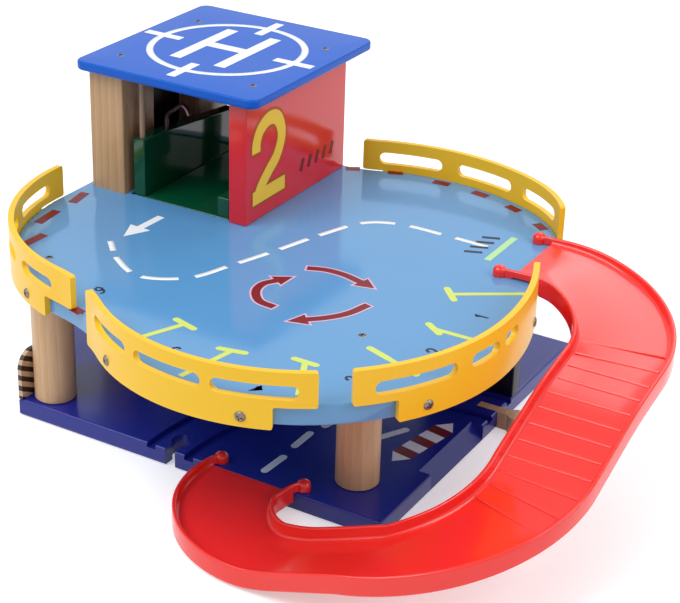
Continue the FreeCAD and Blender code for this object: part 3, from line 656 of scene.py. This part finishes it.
# Plain figures, each one stroke in a box one wide and two tall
figures = {
    "1": [(0.2, 1.6), (0.6, 2.0), (0.6, 0.0)],
    "2": [(0.0, 1.55), (0.15, 1.85), (0.5, 2.0), (0.85, 1.85), (1.0, 1.5), (0.85, 1.1), (0.2, 0.5),
          (0.0, 0.0), (1.0, 0.0)],
    "3": [(0.0, 1.8), (0.5, 2.0), (0.95, 1.75), (0.9, 1.3), (0.45, 1.05), (0.95, 0.8), (0.95, 0.25),
          (0.5, 0.0), (0.0, 0.2)],
    "4": [(0.7, 0.0), (0.7, 2.0), (0.0, 0.6), (1.0, 0.6)],
    "5": [(0.95, 2.0), (0.1, 2.0), (0.05, 1.15), (0.55, 1.25), (0.95, 0.95), (0.95, 0.3), (0.5, 0.0),
          (0.0, 0.2)],
    "6": [(0.9, 1.9), (0.45, 2.0), (0.05, 1.4), (0.05, 0.4), (0.5, 0.0), (0.95, 0.35), (0.9, 0.9), (0.5, 1.1),
          (0.08, 0.8)],
}
numbers = {"size": 4.0, "width": 1.5,
           "places": [("1", (259, 86), 0), ("2", (256, 36), 20), ("3", (235, -13), 45), ("4", (200, -50), 70),
                      ("5", (142, -39), 100), ("6", (66, -3), 150)]}


def figureStroke(figure, place, turn):
    spin = Matrix.Rotation(math.radians(turn + 90), 2)
    line = [Vector(place) + spin @ (Vector((x - 0.5, y - 1.0)) * numbers["size"]) for x, y in figures[figure]]
    return stroke(line, numbers["width"])


flatPrint("bayNumbers", [figureStroke(*row) for row in numbers["places"]], prints["black"], onDeck)

# Dark red marks along the deck's edge
edgeMarks = {"width": 6.0, "marks": [((-23, 86), (-26, 103)), ((-21, 50), (-23, 71)), ((-8, 17), (-7, 39)),
                                     ((67, -29), (75, -31)), ((89, 230), (97, 235)), ((115, 240), (124, 244)),
                                     ((147, 243), (158, 244)), ((176, 242), (187, 240)),
                                     ((204, 234), (214, 230)), ((231, 219), (239, 213))]}
marks = [stroke(mark, edgeMarks["width"]) for mark in edgeMarks["marks"]]
flatPrint("edgeMarks", marks, prints["darkRed"], onDeck)

# Stop line in front of the ramp, with four slanted bars beside it
stopLine = {"line": ((229, 154), (229, 192)), "width": 4.2}
stopBars = {"from": (212, 158), "to": (222, 162), "step": (0, 8), "width": 2.6, "count": 4}
flatPrint("stopLine", [stroke(stopLine["line"], stopLine["width"])], prints["green"], onDeck)
flatPrint("stopBars", slantedBars(stopBars), prints["black"], onDeck)
print("deck prints made")

# Base: a white dashed lane and a red and white barrier with pointed ends
lane = {"width": 4.6, "marks": [((167, 11), (168, 29)), ((167, 43), (167, 60)), ((170, 72), (172, 82)),
                                ((204, 79), (212, 94))]}
marks = [stroke(mark, lane["width"], roundEnds=True) for mark in lane["marks"]]
flatPrint("laneMarks", marks, prints["white"], onBase)
barrier = {"from": (222, 59), "to": (232, 116), "wide": 13, "tip": 9, "bands": 5}


def barrierPrint():
    start, end = Vector(barrier["from"]), Vector(barrier["to"])
    way = (end - start).normalized()
    side = Vector((-way.y, way.x)) * barrier["wide"] / 2
    low, high = start + way * barrier["tip"], end - way * barrier["tip"]
    step = (high - low) / barrier["bands"]
    bands = []
    for i in range(barrier["bands"]):
        near, far = low + step * i, low + step * (i + 1)
        bands.append([near + side, far + side, far - side, near - side])
    tips = [[start, low + side, low - side], [end, high - side, high + side]]
    flatPrint("barrierWhite", tips + bands[1::2], prints["white"], onBase)
    flatPrint("barrierRed", bands[0::2], prints["darkRed"], onBase)


barrierPrint()

# Roof: a landing circle with four ticks and a plain H, whose bar ends just inside its legs
landing = {"hub": (30, 179.5), "radius": 48.5, "sides": 96, "width": 4.4, "tick": 27, "tickWide": 6.16,
           "legs": (12, 44.5), "low": 148, "high": 213, "bar": 181, "inset": 3.9, "stroke": 8,
           "film": film + 0.02}


def landingPrint():
    hub, radius = Vector(landing["hub"]), landing["radius"]
    ring = []
    for i in range(landing["sides"] + 1):
        angle = i * math.tau / landing["sides"]
        ring.append(at(hub.x + radius * math.cos(angle), hub.y + radius * math.sin(angle), levels["roofTop"]))
    printAlong("landingRing", ring, landing["width"], prints["white"])
    lines = []
    for way in (Vector((1, 0)), Vector((0, 1)), Vector((-1, 0)), Vector((0, -1))):
        middle, half = hub + way * radius, way * landing["tick"] / 2
        lines.append(stroke([middle - half, middle + half], landing["tickWide"]))
    left, right = landing["legs"]
    for x in (left, right):
        lines.append(stroke([(x, landing["low"]), (x, landing["high"])], landing["stroke"]))
    ends = [(left + landing["inset"], landing["bar"]), (right - landing["inset"], landing["bar"])]
    lines.append(stroke(ends, landing["stroke"]))
    flatPrint("landingSign", lines, prints["white"], onRoof, high=landing["film"])


landingPrint()

# Side panel: a large plain 2 with a dark rim, and five short slanted bars
bigTwo = {"width": 9, "rim": 1.6, "step": 1.5, "foot": [(122.5, 117), (159, 117)],
          "line": [(126, 146), (126.5, 153), (131, 160), (140, 164), (149, 162), (154, 154), (154, 146),
                   (149, 137), (140, 130), (131, 122), (127, 115)]}
panelBars = {"from": (178, 117), "to": (181, 125), "step": (9, 0), "width": 3.2, "count": 5}
twoLines = [smoothLine(bigTwo["line"], bigTwo["step"]), bigTwo["foot"]]
rims = [stroke(line, bigTwo["width"], grow=bigTwo["rim"]) for line in twoLines]
flatPrint("levelNumberRim", rims, prints["amber"], onPanel, high=rimFilm)
flatPrint("levelNumber", [stroke(line, bigTwo["width"]) for line in twoLines], prints["yellow"], onPanel)
flatPrint("panelBars", slantedBars(panelBars), prints["darkRed"], onPanel)
print("base, roof and panel prints made")

# Ramp: a moulded channel with rounded rims and a soft inner corner, swept along its path
ramp = {"start": (244, 167), "heading": 0,
        "runs": [("line", 24), ("arc", 64, -90), ("line", 87), ("arc", 67, -90), ("line", 56.5),
                 ("arc", 40, -90), ("line", 17)],
        "wide": 57, "wall": 2.5, "tall": 12.3, "floor": 2.5, "lip": 9, "rimRound": 1.1, "corner": 2.4,
        "step": 2.5, "cornerSpare": 0.2, "footEdge": 1.2, "nearDeck": 24.5, "farDeck": 15.5, "overDeck": 102.3,
        "baseEdge": 6.4, "overBase": 11.3, "blend": 14, "sharp": 0.7}
halfWide = ramp["wide"] / 2
rampPath = (ramp["start"], ramp["heading"], ramp["runs"])
rampLong = sum(runLength(run) for run in ramp["runs"])

# Heights of rim and floor, and distances of both walls from the path, at distances along it
rimKnots = [(0, 107), (30, 108), (159, 84), (370, 12.7), (rampLong - 50, 12.7), (rampLong - 8, 16.5),
            (rampLong, 16.5)]
floorKnots = [(0, 104), (30, 104), (60, 97.5), (159, 77.5), (370, 4.6), (rampLong - 50, 4.6),
              (rampLong - 8, 11.4), (rampLong, 11.4)]
nearKnots = [(0, halfWide), (rampLong - 150, halfWide), (rampLong - 112, 23), (rampLong - 92, 21),
             (rampLong - 60, 22.5), (rampLong - 15, 21), (rampLong - 6, 24), (rampLong, halfWide)]
farKnots = [(0, halfWide), (rampLong - 66, halfWide), (rampLong - 45, 33), (rampLong - 20, 35.5),
            (rampLong - 8, 32.5), (rampLong, halfWide)]


def rampLevel(knots, s, steps=6):
    # Straight between knots, and softened by a mean over the stretch around s
    def linear(d):
        for (a, za), (b, zb) in zip(knots, knots[1:]):
            if d <= b:
                return za + (zb - za) * (d - a) / (b - a)
        return knots[-1][1]

    reach = min(ramp["blend"], s, rampLong - s)
    return sum(linear(s + reach * k / steps) for k in range(-steps, steps + 1)) / (2 * steps + 1)


def cornerArc(hubX, hubZ, radius, start, turn, count=4):
    return [(hubX + radius * math.cos(math.radians(start + turn * i / count)),
             hubZ + radius * math.sin(math.radians(start + turn * i / count))) for i in range(count + 1)]


def wallTop(inner, half, rim):
    r = ramp["rimRound"]
    return cornerArc(inner + r, rim - r, r, 180, -90) + cornerArc(half - r, rim - r, r, 90, -90)


def rampSide(s, far):
    # Half of the section, from the middle of the floor over the wall and back below: (offset, height) pairs
    half = rampLevel(farKnots if far else nearKnots, s)
    inner = half - ramp["wall"]
    rim, floor = rampLevel(rimKnots, s), rampLevel(floorKnots, s)
    overDeck = s < (ramp["farDeck"] if far else ramp["nearDeck"])
    foot = ramp["overDeck"] if overDeck else rim - ramp["tall"]
    under = floor - ramp["floor"]
    if s < ramp["nearDeck"]:
        under = max(under, ramp["overDeck"])
    under = max(under, foot)
    edge = ramp["footEdge"]
    f = min(ramp["corner"], rim - floor - ramp["rimRound"] - ramp["cornerSpare"])
    top = [(0, floor), (inner / 2, floor)] + cornerArc(inner - f, floor + f, f, -90, 90)
    below = [(half, foot + edge), (half - edge, foot), (inner, foot), (inner, under), (inner / 2, under),
             (0, under)]
    return top + wallTop(inner, half, rim) + below


def rampPlace(s):
    point, angle = along(*rampPath, s)
    return point, Vector((math.sin(angle), -math.cos(angle)))


def rampRing(mesh, s, profile):
    point, right = rampPlace(s)
    ring = []
    for offset, height in profile:
        place = point + right * offset
        ring.append(mesh.verts.new(at(place.x, place.y, height)))
    return ring


def sweep(mesh, rings):
    for a, b in zip(rings, rings[1:]):
        for i in range(len(a)):
            mesh.faces.new((a[i - 1], a[i], b[i], b[i - 1]))
    mesh.faces.new(rings[0][::-1])
    mesh.faces.new(rings[-1])


def lathe(mesh, profile, sides, place):
    # Turns (radius, height) pairs about an upright axis; place gives each corner's spot
    rings = []
    for r, z in profile:
        angles = [i * math.tau / sides for i in range(sides)]
        rings.append([mesh.verts.new(place(r * math.cos(a), r * math.sin(a), z)) for a in angles])
    sweep(mesh, rings)


def rampChannel(mesh):
    low, high = ramp["lip"], rampLong - ramp["baseEdge"]
    count = round((high - low) / ramp["step"])
    rings = []
    for i in range(count + 1):
        s = low + (high - low) * i / count
        near = rampSide(s, False)
        far = [(-offset, height) for offset, height in rampSide(s, True)]
        rings.append(rampRing(mesh, s, near[:-1] + far[:0:-1]))
    sweep(mesh, rings)


def rampStub(mesh, low, high, sign, foot, steps=4):
    # One wall alone, where it runs on past the floor to its knob
    rings = []
    for i in range(steps + 1):
        s = low + (high - low) * i / steps
        half = rampLevel(nearKnots if sign > 0 else farKnots, s)
        inner = half - ramp["wall"]
        profile = [(inner, foot)] + wallTop(inner, half, rampLevel(rimKnots, s)) + [(half, foot)]
        rings.append(rampRing(mesh, s, [(offset * sign, height) for offset, height in profile]))
    sweep(mesh, rings)


knob = {"radius": 4.0, "tall": 6.2, "straight": 0.45, "domeTurn": 80, "domeSteps": 5, "sides": 24}


def knobShape(mesh, middle, foot):
    # A peg's head: straight for part of its height, then a dome
    radius, collar = knob["radius"], knob["tall"] * knob["straight"]
    squash = (knob["tall"] - collar) / radius
    dome = cornerArc(0, 0, radius, 0, knob["domeTurn"], knob["domeSteps"])[1:]
    profile = [(radius, 0), (radius, collar)] + [(r, collar + z * squash) for r, z in dome]
    lathe(mesh, profile, knob["sides"], lambda x, y, z: at(middle.x + x, middle.y + y, foot + z))


def rampPiece():
    mesh = bmesh.new()
    rampChannel(mesh)
    for sign in (1, -1):
        rampStub(mesh, 0, ramp["lip"], sign, ramp["overDeck"])
        rampStub(mesh, rampLong - ramp["baseEdge"], rampLong, sign, ramp["overBase"])
    centre = halfWide - ramp["wall"] / 2
    for s, foot in ((0, ramp["overDeck"]), (rampLong, ramp["overBase"])):
        point, right = rampPlace(s)
        for sign in (1, -1):
            knobShape(mesh, point + right * centre * sign, foot)
    made = meshPiece("rampChannel", mesh, finishes["ramp_red"], "ramp")
    for polygon in made.data.polygons:
        polygon.use_smooth = True
    made.data.set_sharp_from_angle(angle=ramp["sharp"])
    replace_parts(made, "ramp")


rampPiece()

# Ribs across the ramp's slope, one every twelve millimetres
ribs = {"from": 108, "to": 240, "spacing": 12.0, "wide": 1.5, "tall": 0.7, "steps": 60, "sides": 10}


def ribTree():
    tree, inp, out = newTree("rampRibs", [("Spacing", "Float"), ("Length", "Float"), ("Radius", "Float"),
                                          ("Flatten", "Float"), ("Material", "Material")])
    rod = {"Vertices": ribs["sides"], "Radius": inp.outputs["Radius"], "Depth": inp.outputs["Length"]}
    bar = node(tree, "GeometryNodeMeshCylinder", rod)
    size = node(tree, "ShaderNodeCombineXYZ", {0: 1.0, 1: inp.outputs["Flatten"], 2: 1.0})
    squash = {"Geometry": bar.outputs["Mesh"], "Scale": size.outputs[0]}
    squashed = node(tree, "GeometryNodeTransform", squash)
    spaced = {"Curve": inp.outputs["Geometry"], "Length": inp.outputs["Spacing"]}
    points = node(tree, "GeometryNodeResampleCurve", spaced, mode="LENGTH")
    upright = node(tree, "GeometryNodeSetCurveNormal", {"Curve": points.outputs[0]}, mode="Z_UP")
    spots = node(tree, "GeometryNodeCurveToPoints", {"Curve": upright.outputs[0]}, mode="EVALUATED")
    tangent = spots.outputs["Tangent"]
    across = node(tree, "ShaderNodeVectorMath", {0: tangent, 1: (0, 0, 1)}, operation="CROSS_PRODUCT")
    laid = node(tree, "FunctionNodeAlignRotationToVector", {"Vector": across.outputs[0]}, axis="Z")
    turn = {"Rotation": laid.outputs[0], "Vector": tangent}
    lie = node(tree, "FunctionNodeAlignRotationToVector", turn, axis="X", pivot_axis="Z")
    copies = {"Points": spots.outputs[0], "Instance": squashed.outputs[0], "Rotation": lie.outputs[0]}
    placed = node(tree, "GeometryNodeInstanceOnPoints", copies)
    return finishTree(tree, inp, out, placed.outputs[0])


def rampRibs():
    line = []
    for i in range(ribs["steps"] + 1):
        s = ribs["from"] + (ribs["to"] - ribs["from"]) * i / ribs["steps"]
        point = rampPlace(s)[0]
        line.append(at(point.x, point.y, rampLevel(floorKnots, s)))
    across = ramp["wide"] - 2 * (ramp["wall"] + ramp["corner"])
    values = {"Spacing": ribs["spacing"] * mm, "Length": across * mm, "Radius": ribs["wide"] / 2 * mm,
              "Flatten": ribs["tall"] / ribs["wide"] * 2, "Material": finishes["ramp_red"]}
    made = runTree(curveObject("rampRibs", line), ribTree(), values, "rampRibs", "ramp")


rampRibs()
print("ramp made")

# Screws of the rails, deck and roof: domed heads with a cross recess, one on each CAD screw
screwLook = {"radius": 3.0, "dome": 1.5, "slotLong": 3.6, "slotWide": 0.8, "slotDeep": 0.9, "sides": 28,
             "profile": [(1.0, -0.3), (1.0, 0.12), (0.93, 0.42), (0.75, 0.72), (0.48, 0.92), (0.2, 1.0)]}


def screwHead():
    mesh = bmesh.new()
    radius, dome = screwLook["radius"] * mm, screwLook["dome"] * mm
    lathe(mesh, screwLook["profile"], screwLook["sides"],
          lambda x, y, z: Vector((x * radius, y * radius, z * dome)))
    return meshPiece("screwHead", mesh, finishes["screw_steel"])


def crossCutter():
    mesh = bmesh.new()
    long, wide, deep = (screwLook[key] * mm / 2 for key in ("slotLong", "slotWide", "slotDeep"))
    outline = [(long, wide), (wide, wide), (wide, long), (-wide, long), (-wide, wide), (-long, wide),
               (-long, -wide), (-wide, -wide), (-wide, -long), (wide, -long), (wide, -wide), (long, -wide)]
    top = screwLook["dome"] * mm
    under = [mesh.verts.new((x, y, top - deep * 2)) for x, y in outline]
    prism(mesh, under, [mesh.verts.new((x, y, top + deep)) for x, y in outline])
    return meshPiece("crossCutter", mesh, finishes["screw_steel"])


def recessedHead():
    head = screwHead()
    cutter = crossCutter()
    recess = head.modifiers.new("recess", "BOOLEAN")
    recess.object = cutter
    recess.solver = "EXACT"
    mesh = evaluatedMesh(head)
    head.modifiers.clear()
    head.data = mesh
    bpy.data.objects.remove(cutter)
    return head


def screwTree():
    tree, inp, out = newTree("screwHeads", [("Head", "Object"), ("Material", "Material")])
    head = node(tree, "GeometryNodeObjectInfo", {"Object": inp.outputs["Head"]})
    way = node(tree, "GeometryNodeInputNamedAttribute", {"Name": "way"}, data_type="FLOAT_VECTOR")
    turned = node(tree, "FunctionNodeAlignRotationToVector", {"Vector": way.outputs[0]}, axis="Z")
    copies = {"Points": inp.outputs["Geometry"], "Instance": head.outputs["Geometry"],
              "Rotation": turned.outputs[0]}
    placed = node(tree, "GeometryNodeInstanceOnPoints", copies)
    return finishTree(tree, inp, out, placed.outputs[0])


def cadScrew(name):
    # The tip is the point farthest from the mean of all points, since most of them are on the head,
    # and the head's top is the point farthest from the tip
    coords = [vertex.co for vertex in nodes[name].data.vertices]
    middle = sum(coords, Vector()) / len(coords)
    tip = max(coords, key=lambda c: (c - middle).length)
    top = max(coords, key=lambda c: (c - tip).length)
    return tip, top


def screwHeads(name, names, sink=0.0):
    data = bpy.data.meshes.new(name)
    ends = [cadScrew(each) for each in names]
    ways = [(top - tip).normalized() for tip, top in ends]
    places = [top - way * (screwLook["dome"] + sink) * mm for (tip, top), way in zip(ends, ways)]
    data.from_pydata(places, [], [])
    attribute = data.attributes.new("way", "FLOAT_VECTOR", "POINT")
    for slot, way in zip(attribute.data, ways):
        slot.vector = way
    points = newObject(name, data)
    made = runTree(points, headTree, {"Head": headModel, "Material": finishes["screw_steel"]}, name, "garage")
    return made


headModel = recessedHead()
headTree = screwTree()
railHeads = ["rail_screw_%d" % i for i in range(1, 9)]
topHeads = ["deck_screw_%d" % i for i in (1, 2)] + ["roof_screw_%d" % i for i in range(1, 5)]
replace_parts(screwHeads("railScrewHeads", railHeads), *railHeads)
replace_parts(screwHeads("topScrewHeads", topHeads, sink=0.9), *topHeads)
bpy.data.objects.remove(headModel)
print("screws made")
